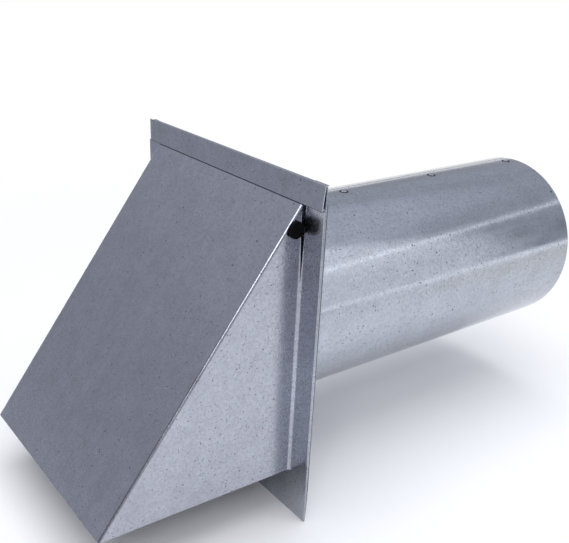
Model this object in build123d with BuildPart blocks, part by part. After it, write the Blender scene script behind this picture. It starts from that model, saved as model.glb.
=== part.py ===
from build123d import *

from math import atan2, cos, hypot, radians, sin, sqrt

# Wall vent cap: a sheet-metal hood on a back plate, a duct pipe through the
# plate, and a damper flap that hangs from a rod inside the hood.
# X is the width, Y runs along the pipe into the wall, and Z is up.
# The origin is on the pipe's axis, in the plane of the wall. Sizes are in mm.

# Sheets
hood_sheet = 0.6
plate_sheet = 0.6
pipe_sheet = 0.5
flap_sheet = 0.6

# Back plate: heights are from the pipe's axis
plate_width = 185.4
plate_rise = 103.8
plate_drop = 110.4
hem_gap = 0.8
hem_reach = 8.0
hem_taper = 30.0
pipe_hole_clearance = 0.1

# Hood: heights are from the pipe's axis, the depth is from the wall
hood_width = 152.4
hood_depth = 130.9
fold_height = 90.9
lip_drop = 76.3
cheek_drop = 79.6
slant_bend = 2.0
tab_bend = 2.4
tab_inset = 0.6
tab_mitre = 12.0
seam_gap = 0.5
strip_left_inset = 6.6
strip_right_inset = 0.3
strip_proud = 2.0
strip_gap = 0.4
hook_gap = 0.1
hook_reach = 6.0
hook_inset = 2.0

# Relief slit between each cheek and its tab
relief_length = 45.0
relief_top_width = 1.8
relief_width = 2.2

# Duct pipe, from the wall to its open end
pipe_diameter = 127.0
pipe_reach = 273.8
lap_width = 17.0
seam_groove = 0.3
pin_hole_diameter = 1.6
pin_hole_inset = 3.4
pin_hole_angle = 49.5

# Seam rivets
rivet_count = 4
rivet_pitch = 85.0
rivet_inset = 9.8
rivet_shank_diameter = 3.0
rivet_head_diameter = 6.4
rivet_head_height = 0.15
rivet_dish_diameter = 3.4
rivet_dish_depth = 0.3
rivet_tail_diameter = 5.0
rivet_tail_height = 0.4

# Damper
axle_diameter = 4.0
axle_from_tab = 6.1
axle_below_fold = 13.1
axle_clearance = 0.05
axle_head_diameter = 5.6
axle_head_thickness = 0.6
flap_overlap = 4.0
flap_corner = 20.0
flap_curl_end = -60.0
seat_gap = 0.3

# Cap on the rod's right end
cap_diameter = 9.6
cap_thickness = 2.4
cap_end_wall = 0.5
cap_standoff = 0.3
cap_edge = 0.3

# How far a cutting shape runs past the face that it cuts
past = 1.0

# Planes across the stack at the plate, from the wall outwards
hem_radius = plate_sheet + hem_gap / 2
hem_y = -hem_radius
plate_rear_y = -plate_sheet - hem_gap
plate_front_y = plate_rear_y - plate_sheet
tab_front_y = plate_front_y - hood_sheet
strip_front_y = tab_front_y - strip_gap
fold_y = tab_front_y - strip_proud

# Places that follow from the sizes above
plate_half = plate_width / 2
hem_x = plate_half - hem_radius
hood_half = hood_width / 2
tab_edge_x = plate_half - tab_inset
strip_left_x = strip_left_inset - plate_half
strip_length = plate_width - strip_left_inset - strip_right_inset
bend_x = hood_half + tab_bend
bend_y = tab_front_y - tab_bend
seam_z = fold_height - seam_gap
pipe_radius = pipe_diameter / 2
pipe_bore = pipe_radius - pipe_sheet
lap_bore = pipe_bore - pipe_sheet
axle_radius = axle_diameter / 2
axle_y = tab_front_y - axle_from_tab
axle_z = fold_height - axle_below_fold
curl_radius = axle_radius + flap_sheet
flap_front_y = axle_y - curl_radius
flap_rear_y = flap_front_y + flap_sheet
seat_y = flap_rear_y + seat_gap
flap_half = pipe_radius + flap_overlap
flap_low_z = -pipe_radius - flap_overlap
cap_inner_x = hood_half + cap_standoff
axle_length = 2 * cap_inner_x + cap_thickness - cap_end_wall
# The slit is widest behind the cap
relief_widest_drop = axle_below_fold - seam_gap

# The slanted front runs from the fold to the lip
slant_angle = atan2(hood_depth + fold_y, fold_height + lip_drop)
slant_length = hypot(hood_depth + fold_y, fold_height + lip_drop)


def slant_point(along, inset):
    """Point in the YZ plane: along is measured down the slanted front from the fold, inset is under its face."""
    y = fold_y - along * sin(slant_angle) + inset * cos(slant_angle)
    z = fold_height - along * cos(slant_angle) - inset * sin(slant_angle)
    return (y, z)


def slanted_edges(shape):
    """Long edges at the two sides of a wedge's slanted face."""
    front = shape.faces().filter_by(lambda face: face.normal_at().Y < 0 < face.normal_at().Z)[0]
    return front.edges().filter_by(Axis.X, reverse=True)


# Back plate: a sheet with hemmed sides and a hole for the pipe
with BuildPart() as back_plate:
    with BuildSketch(Plane.XY.offset(-plate_drop)):
        with BuildLine():
            Line((0, plate_front_y), (hem_x, plate_front_y))
            CenterArc((hem_x, hem_y), hem_radius, -90, 180)
            Polyline(
                (hem_x, 0),
                (hem_x - hem_reach, 0),
                (hem_x - hem_reach, -plate_sheet),
                (hem_x, -plate_sheet),
            )
            CenterArc((hem_x, hem_y), hem_radius - plate_sheet, 90, -180)
            Line((hem_x, plate_rear_y), (0, plate_rear_y))
            mirror(about=Plane.YZ)
        make_face()
    extrude(amount=plate_drop + plate_rise)
    # The hems thin out towards the corners
    for end_z, way in ((-plate_drop, 1), (plate_rise, -1)):
        with BuildSketch(Plane.YZ):
            with BuildLine():
                Polyline(
                    (plate_rear_y, end_z),
                    (0, end_z + way * hem_taper),
                    (past, end_z + way * hem_taper),
                    (past, end_z - way * past),
                    (plate_rear_y, end_z - way * past),
                    close=True,
                )
            make_face()
        extrude(amount=plate_width, both=True, mode=Mode.SUBTRACT)
    with BuildSketch(Plane.XZ):
        Circle(pipe_radius + pipe_hole_clearance)
    extrude(amount=plate_width, both=True, mode=Mode.SUBTRACT)
back_plate.part.label = "back_plate"
export_step(back_plate.part, "parts/back_plate.step")

# Space under the hood's front and between its cheeks
with BuildPart() as hood_hollow:
    with BuildSketch(Plane.YZ):
        with BuildLine():
            Polyline(
                slant_point(-hood_depth, hood_sheet),
                slant_point(slant_length + hood_depth, hood_sheet),
                (hood_depth, slant_point(slant_length + hood_depth, hood_sheet)[1]),
                (hood_depth, slant_point(-hood_depth, hood_sheet)[1]),
                close=True,
            )
        make_face()
    extrude(amount=hood_half - hood_sheet, both=True)
    fillet(slanted_edges(hood_hollow), slant_bend - hood_sheet)

# Tab of the right cheek, with the bend that joins it to the cheek
with BuildPart() as side_tab:
    with BuildSketch(Plane.XY.offset(-cheek_drop)):
        with BuildLine():
            CenterArc((bend_x, bend_y), tab_bend, 90, 90)
            Line((hood_half, bend_y), (hood_half - hood_sheet, bend_y))
            CenterArc((bend_x, bend_y), tab_bend + hood_sheet, 180, -90)
            Line((bend_x, plate_front_y), (bend_x, tab_front_y))
        make_face()
    extrude(amount=cheek_drop + seam_z)
    with BuildSketch(Plane.XZ.offset(-plate_front_y)):
        with BuildLine():
            Polyline(
                (bend_x, -cheek_drop),
                (tab_edge_x, tab_mitre - cheek_drop),
                (tab_edge_x, seam_z),
                (bend_x, seam_z),
                close=True,
            )
        make_face()
    extrude(amount=hood_sheet)

# Slit at the top of the right cheek's bend, cut straight into the corner
with BuildPart() as relief:
    slit_plane = Plane(origin=(bend_x, bend_y, seam_z), x_dir=(-1, -1, 0), z_dir=(-1, 1, 0))
    with BuildSketch(slit_plane):
        with BuildLine():
            Polyline(
                (-relief_top_width / 2, past),
                (-relief_width / 2, -relief_widest_drop),
                (0, -relief_length),
                (relief_width / 2, -relief_widest_drop),
                (relief_top_width / 2, past),
                close=True,
            )
        make_face()
    extrude(amount=2 * (tab_bend + hood_sheet))

# Hood: one folded sheet with a top strip, slanted front, cheeks and tabs
with BuildPart() as hood:
    with BuildSketch(Plane.YZ):
        with BuildLine():
            Polyline(
                (fold_y, fold_height),
                (-hood_depth, -lip_drop),
                (tab_front_y, -cheek_drop),
                (tab_front_y, fold_height),
                close=True,
            )
        make_face()
    extrude(amount=hood_half, both=True)
    fillet(slanted_edges(hood), slant_bend)
    add(hood_hollow.part, mode=Mode.SUBTRACT)
    # Each cheek stops where the bend to its tab begins
    cheek_top = slant_point((fold_y - bend_y) / sin(slant_angle), hood_sheet)[1]
    with BuildSketch(Plane.YZ):
        with BuildLine():
            Polyline(
                (bend_y, cheek_top),
                (bend_y, -cheek_drop - past),
                (past, -cheek_drop - past),
                (past, cheek_top),
                close=True,
            )
        make_face()
    extrude(amount=hood_width, both=True, mode=Mode.SUBTRACT)
    add(side_tab.part)
    add(mirror(side_tab.part, about=Plane.YZ, mode=Mode.PRIVATE))
    add(relief.part, mode=Mode.SUBTRACT)
    add(mirror(relief.part, about=Plane.YZ, mode=Mode.PRIVATE), mode=Mode.SUBTRACT)
    # The strip leans back to the plate, and stops short of its left edge
    strip_top = plate_rise + hook_gap + hood_sheet
    with BuildSketch(Plane.YZ.offset(strip_left_x)):
        with BuildLine():
            Polyline(
                (fold_y, fold_height),
                (strip_front_y, strip_top),
                (strip_front_y + hood_sheet, strip_top),
                (fold_y + hood_sheet, fold_height),
                close=True,
            )
        make_face()
    extrude(amount=strip_length)
    # The strip's top turns back over the plate's top edge
    hook_rear_y = plate_rear_y + hook_gap + hood_sheet
    with BuildSketch(Plane.YZ.offset(strip_left_x)):
        with BuildLine():
            Polyline(
                (strip_front_y, strip_top),
                (hook_rear_y, strip_top),
                (hook_rear_y, strip_top - hood_sheet),
                (strip_front_y, strip_top - hood_sheet),
                close=True,
            )
        make_face()
    extrude(amount=strip_length)
    # Between the hems it goes on down behind the plate as a hook
    with BuildSketch(Plane.YZ):
        with BuildLine():
            Polyline(
                (hook_rear_y, strip_top),
                (hook_rear_y, strip_top - hook_reach),
                (hook_rear_y - hood_sheet, strip_top - hook_reach),
                (hook_rear_y - hood_sheet, strip_top),
                close=True,
            )
        make_face()
    extrude(amount=hem_x - hem_reach - hook_inset, both=True)
    # Holes for the damper's rod
    with BuildSketch(Plane.YZ):
        with Locations((axle_y, axle_z)):
            Circle(axle_radius + axle_clearance)
    extrude(amount=hood_width, both=True, mode=Mode.SUBTRACT)
hood.part.label = "hood"
export_step(hood.part, "parts/hood.step")

# Rivet places along the seam, counted from the pipe's open end
rivet_places = [pipe_reach - rivet_inset - place * rivet_pitch for place in range(rivet_count)]

# Duct pipe: a rolled sheet with beads that hold the plate and a lap along its top
bead_radius = -plate_rear_y / 2
with BuildPart() as duct_pipe:
    with BuildSketch(Plane.XY):
        with BuildLine():
            Line((pipe_radius, pipe_reach), (pipe_radius, 0))
            CenterArc((pipe_radius, -bead_radius), bead_radius, 90, -180)
            Line((pipe_radius, plate_rear_y), (pipe_radius, plate_front_y))
            CenterArc((pipe_radius, plate_front_y - bead_radius), bead_radius, 90, -180)
            Polyline(
                (pipe_radius, plate_front_y - 2 * bead_radius),
                (pipe_radius, seat_y),
                (pipe_bore, seat_y),
                (pipe_bore, pipe_reach),
                (pipe_radius, pipe_reach),
            )
        make_face()
    revolve(axis=Axis.Y)
    # The sheet's other edge laps under the seam
    with BuildSketch(Plane.XZ.offset(-pipe_reach)):
        Rectangle(lap_width, pipe_radius, align=(Align.CENTER, Align.MIN))
        Circle((pipe_bore + pipe_radius) / 2, mode=Mode.INTERSECT)
        Circle(lap_bore, mode=Mode.SUBTRACT)
    extrude(amount=pipe_reach - seat_y)
    # The outer edge of the lap shows as a groove on the far side of the rivets
    with BuildSketch(Plane.XZ.offset(-pipe_reach)):
        with Locations((-lap_width / 2, pipe_radius)):
            Rectangle(seam_groove, 2 * seam_groove)
    extrude(amount=pipe_reach, mode=Mode.SUBTRACT)
    # Rivet holes
    with BuildSketch(Plane.XY):
        with Locations(*[(0, place) for place in rivet_places]):
            Circle(rivet_shank_diameter / 2)
    extrude(amount=pipe_diameter, mode=Mode.SUBTRACT)
    # Small hole near the open end
    hole_way = (cos(radians(pin_hole_angle)), 0, sin(radians(pin_hole_angle)))
    with BuildSketch(Plane(origin=(0, pipe_reach - pin_hole_inset, 0), x_dir=(0, 1, 0), z_dir=hole_way)):
        Circle(pin_hole_diameter / 2)
    extrude(amount=pipe_diameter, mode=Mode.SUBTRACT)
duct_pipe.part.label = "duct_pipe"
export_step(duct_pipe.part, "parts/duct_pipe.step")

# Seam rivets: low dished heads outside, spread tails under the lap
tail_top = sqrt(lap_bore**2 - (rivet_tail_diameter / 2) ** 2)
head_top = pipe_radius + rivet_head_height
with BuildPart() as seam_rivets:
    for place in rivet_places:
        with BuildSketch(Plane(origin=(0, place, 0), x_dir=(1, 0, 0), z_dir=(0, -1, 0))):
            with BuildLine():
                Polyline(
                    (0, tail_top - rivet_tail_height),
                    (rivet_tail_diameter / 2, tail_top - rivet_tail_height),
                    (rivet_tail_diameter / 2, tail_top),
                    (rivet_shank_diameter / 2, tail_top),
                    (rivet_shank_diameter / 2, pipe_radius),
                    (rivet_head_diameter / 2, pipe_radius),
                    (rivet_head_diameter / 2, head_top),
                    (rivet_dish_diameter / 2, head_top),
                    (0, head_top - rivet_dish_depth),
                    close=True,
                )
            make_face()
        revolve(axis=Axis((0, place, 0), (0, 0, 1)))
seam_rivets.part.label = "seam_rivets"
export_step(seam_rivets.part, "parts/seam_rivets.step")

# Damper flap: a sheet curled round the rod, hanging in front of the pipe's mouth
with BuildPart() as damper_flap:
    with BuildSketch(Plane.YZ):
        with BuildLine():
            curl_end = radians(flap_curl_end)
            CenterArc((axle_y, axle_z), curl_radius, 180, flap_curl_end - 180)
            Line(
                (axle_y + curl_radius * cos(curl_end), axle_z + curl_radius * sin(curl_end)),
                (axle_y + axle_radius * cos(curl_end), axle_z + axle_radius * sin(curl_end)),
            )
            CenterArc((axle_y, axle_z), axle_radius, flap_curl_end, 180 - flap_curl_end)
            Polyline(
                (flap_rear_y, axle_z),
                (flap_rear_y, flap_low_z),
                (flap_front_y, flap_low_z),
                (flap_front_y, axle_z),
            )
        make_face()
    extrude(amount=flap_half, both=True)
    low_corners = damper_flap.edges().filter_by(Axis.Y).group_by(Axis.Z)[0]
    fillet(low_corners, flap_corner)
damper_flap.part.label = "damper_flap"
export_step(damper_flap.part, "parts/damper_flap.step")

# Damper axle: a rod through both cheeks, with a flat head outside the left one
with BuildPart() as damper_axle:
    head_plane = Plane.YZ.offset(-cap_inner_x)
    with BuildSketch(head_plane):
        with Locations((axle_y, axle_z)):
            Circle(axle_radius)
    extrude(amount=axle_length)
    with BuildSketch(head_plane):
        with Locations((axle_y, axle_z)):
            Circle(axle_head_diameter / 2)
    extrude(amount=-axle_head_thickness)
damper_axle.part.label = "damper_axle"
export_step(damper_axle.part, "parts/damper_axle.step")

# Cap pushed onto the rod's right end, outside the cheek
with BuildPart() as axle_cap:
    cap_plane = Plane.YZ.offset(cap_inner_x)
    with BuildSketch(cap_plane):
        with Locations((axle_y, axle_z)):
            Circle(cap_diameter / 2)
    extrude(amount=cap_thickness)
    outer_face = axle_cap.faces().sort_by(Axis.X)[-1]
    fillet(outer_face.edges(), cap_edge)
    with BuildSketch(cap_plane):
        with Locations((axle_y, axle_z)):
            Circle(axle_radius)
    extrude(amount=cap_thickness - cap_end_wall, mode=Mode.SUBTRACT)
axle_cap.part.label = "axle_cap"
export_step(axle_cap.part, "parts/axle_cap.step")
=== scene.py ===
"""Looks of a galvanised wall vent cap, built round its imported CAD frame.

X is the width, Y runs along the duct pipe into the wall, and Z is up. The
origin is on the pipe's axis, in the plane of the wall. Sizes are in metres.
"""

import logging
from collections.abc import Callable
from dataclasses import dataclass, field
from enum import Enum
from math import asin, atan2, cos, hypot, inf, pi, radians, sin, sqrt

import bmesh
import bpy
from mathutils import Matrix, Quaternion, Vector

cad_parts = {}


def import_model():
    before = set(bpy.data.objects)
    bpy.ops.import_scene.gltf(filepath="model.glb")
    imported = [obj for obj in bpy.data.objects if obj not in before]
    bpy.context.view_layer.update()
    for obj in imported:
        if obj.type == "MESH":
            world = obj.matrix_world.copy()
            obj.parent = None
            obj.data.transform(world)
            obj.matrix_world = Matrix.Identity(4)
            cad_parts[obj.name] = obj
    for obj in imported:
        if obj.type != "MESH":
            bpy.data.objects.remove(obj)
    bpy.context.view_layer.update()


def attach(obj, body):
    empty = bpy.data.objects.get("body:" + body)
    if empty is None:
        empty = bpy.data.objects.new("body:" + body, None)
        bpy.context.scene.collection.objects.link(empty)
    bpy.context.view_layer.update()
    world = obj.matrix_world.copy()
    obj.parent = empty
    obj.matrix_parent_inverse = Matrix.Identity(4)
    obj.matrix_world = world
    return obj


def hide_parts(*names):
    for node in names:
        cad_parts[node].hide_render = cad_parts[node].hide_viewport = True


LOG = logging.getLogger("wall_vent_cap")

# A colour, a place or a direction
Triple = tuple[float, float, float]

# Points nearer than this are joined into one
JOIN = 2e-6
# Places nearer than this count as the same place
NEAR = 1e-6
# Decimal places to which equal heights agree
SAME_DIGITS = 7
# Shares less than this count as nothing
TINY = 1e-9
# Edges that turn by more than this are cut edges, not bends
CUT_EDGE_ANGLE = radians(60)
# Width of the narrow faces that keep the shading crisp beside an edge
EDGE_STEP = 0.0006
# Number of sides of a drilled hole
HOLE_SIDES = 24
# Half length of a drill's cut
DRILL_REACH = 0.003
# Height of the finest marks on a surface
BUMP_HEIGHT = 0.0002


class Body(Enum):
    """CAD bodies that the pieces ride on."""

    HOUSING = "housing"
    DAMPER = "damper"


class GrainWay(Enum):
    """Which way the rolling marks of a sheet run, as a stretch of its texture space."""

    DOWN_THE_FRONT = (1.0, 0.35, 0.35)
    UP_THE_PLATE = (1.0, 1.0, 0.3)
    ALONG_THE_PIPE = (1.0, 0.12, 1.0)


class NodeSheet:
    """A node tree that is filled in step by step."""

    def __init__(self, tree: bpy.types.NodeTree) -> None:
        """Takes the tree that the nodes go into.

        Args:
            tree: Node tree of a material, world or group.
        """
        self.tree = tree

    def add(self, kind: str, **settings: object) -> bpy.types.Node:
        """Adds a node and sets its properties.

        Args:
            kind: Blender's name for the node type.
            settings: Properties of the node, by name.

        Returns:
            The new node.
        """
        node = self.tree.nodes.new(kind)
        for name, value in settings.items():
            setattr(node, name, value)
        return node

    def link(self, source: bpy.types.NodeSocket, target: bpy.types.NodeSocket) -> None:
        """Joins an output socket to an input socket."""
        self.tree.links.new(source, target)

    def feed(self, target: bpy.types.NodeSocket, value: object) -> None:
        """Gives an input socket its value.

        Args:
            target: Input socket.
            value: Socket to join to it, or a number, vector or colour.
        """
        if isinstance(value, bpy.types.NodeSocket):
            self.link(value, target)
        elif target.type == "RGBA":
            target.default_value = (*value, 1.0)
        else:
            target.default_value = value

    def math(self, operation: str, first: object, second: object = None) -> bpy.types.NodeSocket:
        """Adds a sum of one or two values.

        Args:
            operation: Blender's name for the sum.
            first: Socket or number.
            second: Socket or number, or nothing for a sum of one value.

        Returns:
            The socket that holds the result.
        """
        node = self.add("ShaderNodeMath", operation=operation)
        for place, value in enumerate((first, second)):
            if value is not None:
                self.feed(node.inputs[place], value)
        return node.outputs[0]

    def between(self, value: bpy.types.NodeSocket, low: float, high: float,
                start: float = 0.0, end: float = 1.0) -> bpy.types.NodeSocket:
        """Maps low..high of a value to start..end, with a smooth step.

        Args:
            value: Socket to map.
            low: Value that gives start.
            high: Value that gives end.
            start: First result.
            end: Last result.

        Returns:
            The socket that holds the result.
        """
        node = self.add("ShaderNodeMapRange", interpolation_type="SMOOTHSTEP")
        self.link(value, node.inputs["Value"])
        for name, limit in (("From Min", low), ("From Max", high), ("To Min", start), ("To Max", end)):
            node.inputs[name].default_value = limit
        return node.outputs["Result"]

    def vector(self, operation: str, first: bpy.types.NodeSocket, second: object = None) -> bpy.types.Node:
        """Adds a sum of one or two vectors.

        Args:
            operation: Blender's name for the sum.
            first: Socket with the first vector.
            second: Socket or vector, or nothing for a sum of one vector.

        Returns:
            The new node.
        """
        node = self.add("ShaderNodeVectorMath", operation=operation)
        self.link(first, node.inputs[0])
        if second is not None:
            self.feed(node.inputs[1], second)
        return node

    def tinted(self, tint: Triple, tone: bpy.types.NodeSocket) -> bpy.types.NodeSocket:
        """Makes a colour lighter and darker by a tone.

        Args:
            tint: Colour at a tone of 1.
            tone: Socket with the tone.

        Returns:
            The socket that holds the colour.
        """
        node = self.add("ShaderNodeVectorMath", operation="SCALE")
        node.inputs[0].default_value = tint
        self.link(tone, node.inputs["Scale"])
        return node.outputs[0]

    def blend(self, mask: bpy.types.NodeSocket, first: object, second: Triple) -> bpy.types.NodeSocket:
        """Goes from one colour to another by a mask.

        Args:
            mask: Socket with the share of the second colour.
            first: Socket or colour where the mask is 0.
            second: Colour where the mask is 1.

        Returns:
            The socket that holds the colour.
        """
        node = self.add("ShaderNodeMix", data_type="RGBA")
        self.link(mask, node.inputs["Factor"])
        self.feed(node.inputs["A"], first)
        self.feed(node.inputs["B"], second)
        return node.outputs["Result"]

    def bump(self, shader: bpy.types.Node, height: bpy.types.NodeSocket, strength: float) -> None:
        """Raises fine marks on a shader's surface.

        Args:
            shader: Shader that takes the bumped normal.
            height: Socket with the marks' height.
            strength: How strongly the marks show.
        """
        node = self.add("ShaderNodeBump")
        node.inputs["Strength"].default_value = strength
        node.inputs["Distance"].default_value = BUMP_HEIGHT
        self.link(height, node.inputs["Height"])
        self.link(node.outputs["Normal"], shader.inputs["Normal"])


def start_material(name: str) -> tuple[bpy.types.Material, NodeSheet, bpy.types.Node]:
    """Starts a material.

    Args:
        name: Name of the material.

    Returns:
        The material, its node sheet and its shader.
    """
    made = bpy.data.materials.new(name)
    made.use_nodes = True
    return made, NodeSheet(made.node_tree), made.node_tree.nodes["Principled BSDF"]


class EffectGroup:
    """A shader node group that is built once and placed in each material that uses it."""

    title = ""
    inputs: tuple[tuple[str, str, float], ...] = ()
    outputs: tuple[tuple[str, str], ...] = ()

    def tree(self) -> bpy.types.NodeTree:
        """Gives the group's tree, and builds it the first time.

        Returns:
            The node tree of the group.
        """
        found = bpy.data.node_groups.get(self.title)
        if found is not None:
            return found
        tree = bpy.data.node_groups.new(self.title, "ShaderNodeTree")
        for name, kind, value in self.inputs:
            socket = tree.interface.new_socket(name, in_out="INPUT", socket_type=kind)
            if kind == "NodeSocketFloat":
                socket.default_value = value
        for name, kind in self.outputs:
            tree.interface.new_socket(name, in_out="OUTPUT", socket_type=kind)
        sheet = NodeSheet(tree)
        source = sheet.add("NodeGroupInput")
        target = sheet.add("NodeGroupOutput")
        self.fill(sheet, source, target)
        return tree

    def fill(self, sheet: NodeSheet, source: bpy.types.Node, target: bpy.types.Node) -> None:
        """Puts the effect's nodes between the group's input and output.

        Args:
            sheet: Tree to fill.
            source: Node that holds the group's inputs.
            target: Node that takes the group's outputs.
        """
        raise NotImplementedError

    def place(self, sheet: NodeSheet, vector: bpy.types.NodeSocket,
              **values: float | Triple) -> bpy.types.Node:
        """Places the group in a material.

        Args:
            sheet: Material tree.
            vector: Socket with the texture place.
            values: Input values by socket name, with _ for a space.

        Returns:
            The group node.
        """
        node = sheet.add("ShaderNodeGroup", node_tree=self.tree())
        sheet.link(vector, node.inputs["Vector"])
        for name, value in values.items():
            node.inputs[name.replace("_", " ")].default_value = value
        return node


class ZincSpangle(EffectGroup):
    """Cloudy crystals of a zinc coat: a tone that goes lighter and darker round 1, and a fine height."""

    title = "zinc_spangle"
    inputs = (
        ("Vector", "NodeSocketVector", 0.0),
        ("Crystal Scale", "NodeSocketFloat", 800.0),
        ("Crystal Depth", "NodeSocketFloat", 0.10),
        ("Cloud Scale", "NodeSocketFloat", 60.0),
        ("Cloud Depth", "NodeSocketFloat", 0.10),
    )
    outputs = (("Tone", "NodeSocketFloat"), ("Height", "NodeSocketFloat"))
    frost_fineness = 2.2
    cell_share = 0.5
    crystal_middle = 0.75
    cloud_middle = 0.5

    def fill(self, sheet: NodeSheet, source: bpy.types.Node, target: bpy.types.Node) -> None:
        """Mixes crystal cells, their frosting and slow clouds.

        Args:
            sheet: Tree to fill.
            source: Node that holds the group's inputs.
            target: Node that takes the group's outputs.
        """
        cells = sheet.add("ShaderNodeTexVoronoi", feature="SMOOTH_F1")
        cells.inputs["Smoothness"].default_value = 0.35
        frost = sheet.add("ShaderNodeTexNoise")
        frost.inputs["Detail"].default_value = 3.0
        frost.inputs["Roughness"].default_value = 0.65
        clouds = sheet.add("ShaderNodeTexNoise")
        clouds.inputs["Detail"].default_value = 4.0
        clouds.inputs["Roughness"].default_value = 0.6
        for node in (cells, frost, clouds):
            sheet.link(source.outputs["Vector"], node.inputs["Vector"])
        sheet.link(source.outputs["Crystal Scale"], cells.inputs["Scale"])
        fine = sheet.math("MULTIPLY", source.outputs["Crystal Scale"], self.frost_fineness)
        sheet.link(fine, frost.inputs["Scale"])
        sheet.link(source.outputs["Cloud Scale"], clouds.inputs["Scale"])
        cell_tone = sheet.add("ShaderNodeSeparateColor")
        sheet.link(cells.outputs["Color"], cell_tone.inputs[0])
        crystals = sheet.math("MULTIPLY", cell_tone.outputs[0], self.cell_share)
        crystals = sheet.math("ADD", crystals, frost.outputs[0])
        crystals = sheet.math("SUBTRACT", crystals, self.crystal_middle)
        slow = sheet.math("SUBTRACT", clouds.outputs[0], self.cloud_middle)
        tone = sheet.math(
            "ADD",
            sheet.math("MULTIPLY", crystals, source.outputs["Crystal Depth"]),
            sheet.math("MULTIPLY", slow, source.outputs["Cloud Depth"]),
        )
        tone = sheet.math("ADD", sheet.math("MULTIPLY", tone, 2.0), 1.0)
        sheet.link(tone, target.inputs["Tone"])
        sheet.link(crystals, target.inputs["Height"])


class DarkSpecks(EffectGroup):
    """Small ragged dark pits over a zinc coat, thick in some patches and thin in others."""

    title = "dark_specks"
    inputs = (
        ("Vector", "NodeSocketVector", 0.0),
        ("Speck Scale", "NodeSocketFloat", 520.0),
        ("Speck Size", "NodeSocketFloat", 0.21),
        ("Share", "NodeSocketFloat", 0.3),
    )
    outputs = (("Mask", "NodeSocketFloat"),)
    ragged_scale = 700.0
    ragged_reach = 0.003
    patch_scale = 28.0
    least_size = 0.5
    soft_edge = 0.6

    def fill(self, sheet: NodeSheet, source: bpy.types.Node, target: bpy.types.Node) -> None:
        """Keeps a dot in some of the cells, more of them where a slow noise is high.

        Args:
            sheet: Tree to fill.
            source: Node that holds the group's inputs.
            target: Node that takes the group's outputs.
        """
        dots = sheet.add("ShaderNodeTexVoronoi", feature="F1")
        patches = sheet.add("ShaderNodeTexNoise")
        patches.inputs["Detail"].default_value = 2.0
        patches.inputs["Scale"].default_value = self.patch_scale
        ragged = sheet.add("ShaderNodeTexNoise")
        ragged.inputs["Scale"].default_value = self.ragged_scale
        for node in (ragged, patches):
            sheet.link(source.outputs["Vector"], node.inputs["Vector"])
        pulled = sheet.add("ShaderNodeVectorMath", operation="MULTIPLY_ADD")
        sheet.link(ragged.outputs["Color"], pulled.inputs[0])
        pulled.inputs[1].default_value = (self.ragged_reach,) * 3
        sheet.link(source.outputs["Vector"], pulled.inputs[2])
        sheet.link(pulled.outputs[0], dots.inputs["Vector"])
        sheet.link(source.outputs["Speck Scale"], dots.inputs["Scale"])
        chance = sheet.add("ShaderNodeSeparateColor")
        sheet.link(dots.outputs["Color"], chance.inputs[0])
        thick = sheet.math("MULTIPLY", patches.outputs[0], 2.0)
        likely = sheet.math("MULTIPLY", source.outputs["Share"], thick)
        kept = sheet.math("LESS_THAN", chance.outputs[0], likely)
        size = sheet.math("ADD", chance.outputs[1], self.least_size)
        size = sheet.math("MULTIPLY", source.outputs["Speck Size"], size)
        nearness = sheet.math("SUBTRACT", 1.0, sheet.math("DIVIDE", dots.outputs["Distance"], size))
        dot = sheet.between(nearness, 0.0, self.soft_edge)
        sheet.link(sheet.math("MULTIPLY", dot, kept), target.inputs["Mask"])


class FoldShade(EffectGroup):
    """Painted shade: a dark line along a fold, where the fold meets a plane, standing in for the shade in
    the crease.
    """

    title = "fold_painted_shade"
    inputs = (
        ("Vector", "NodeSocketVector", 0.0),
        ("Plane Way", "NodeSocketVector", 0.0),
        ("Plane Place", "NodeSocketFloat", 0.0),
        ("Half Width", "NodeSocketFloat", 0.0004),
    )
    outputs = (("Mask", "NodeSocketFloat"),)
    solid_share = 0.3

    def fill(self, sheet: NodeSheet, source: bpy.types.Node, target: bpy.types.Node) -> None:
        """Measures how near a point is to the plane.

        Args:
            sheet: Tree to fill.
            source: Node that holds the group's inputs.
            target: Node that takes the group's outputs.
        """
        along = sheet.vector("DOT_PRODUCT", source.outputs["Vector"], source.outputs["Plane Way"])
        above = sheet.math("SUBTRACT", along.outputs["Value"], source.outputs["Plane Place"])
        off = sheet.math("DIVIDE", sheet.math("ABSOLUTE", above), source.outputs["Half Width"])
        sheet.link(sheet.between(off, self.solid_share, 1.0, 1.0, 0.0), target.inputs["Mask"])


class RollingMarks(EffectGroup):
    """Soft marks that the mill's rollers leave along a sheet, as a value round 0."""

    title = "rolling_marks"
    inputs = (
        ("Vector", "NodeSocketVector", 0.0),
        ("Mark Scale", "NodeSocketFloat", 260.0),
    )
    outputs = (("Value", "NodeSocketFloat"),)
    middle = 0.5

    def fill(self, sheet: NodeSheet, source: bpy.types.Node, target: bpy.types.Node) -> None:
        """Reads a noise, which the material stretches along the sheet.

        Args:
            sheet: Tree to fill.
            source: Node that holds the group's inputs.
            target: Node that takes the group's outputs.
        """
        marks = sheet.add("ShaderNodeTexNoise")
        marks.inputs["Detail"].default_value = 3.0
        marks.inputs["Roughness"].default_value = 0.55
        sheet.link(source.outputs["Vector"], marks.inputs["Vector"])
        sheet.link(source.outputs["Mark Scale"], marks.inputs["Scale"])
        sheet.link(sheet.math("SUBTRACT", marks.outputs[0], self.middle), target.inputs["Value"])


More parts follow.
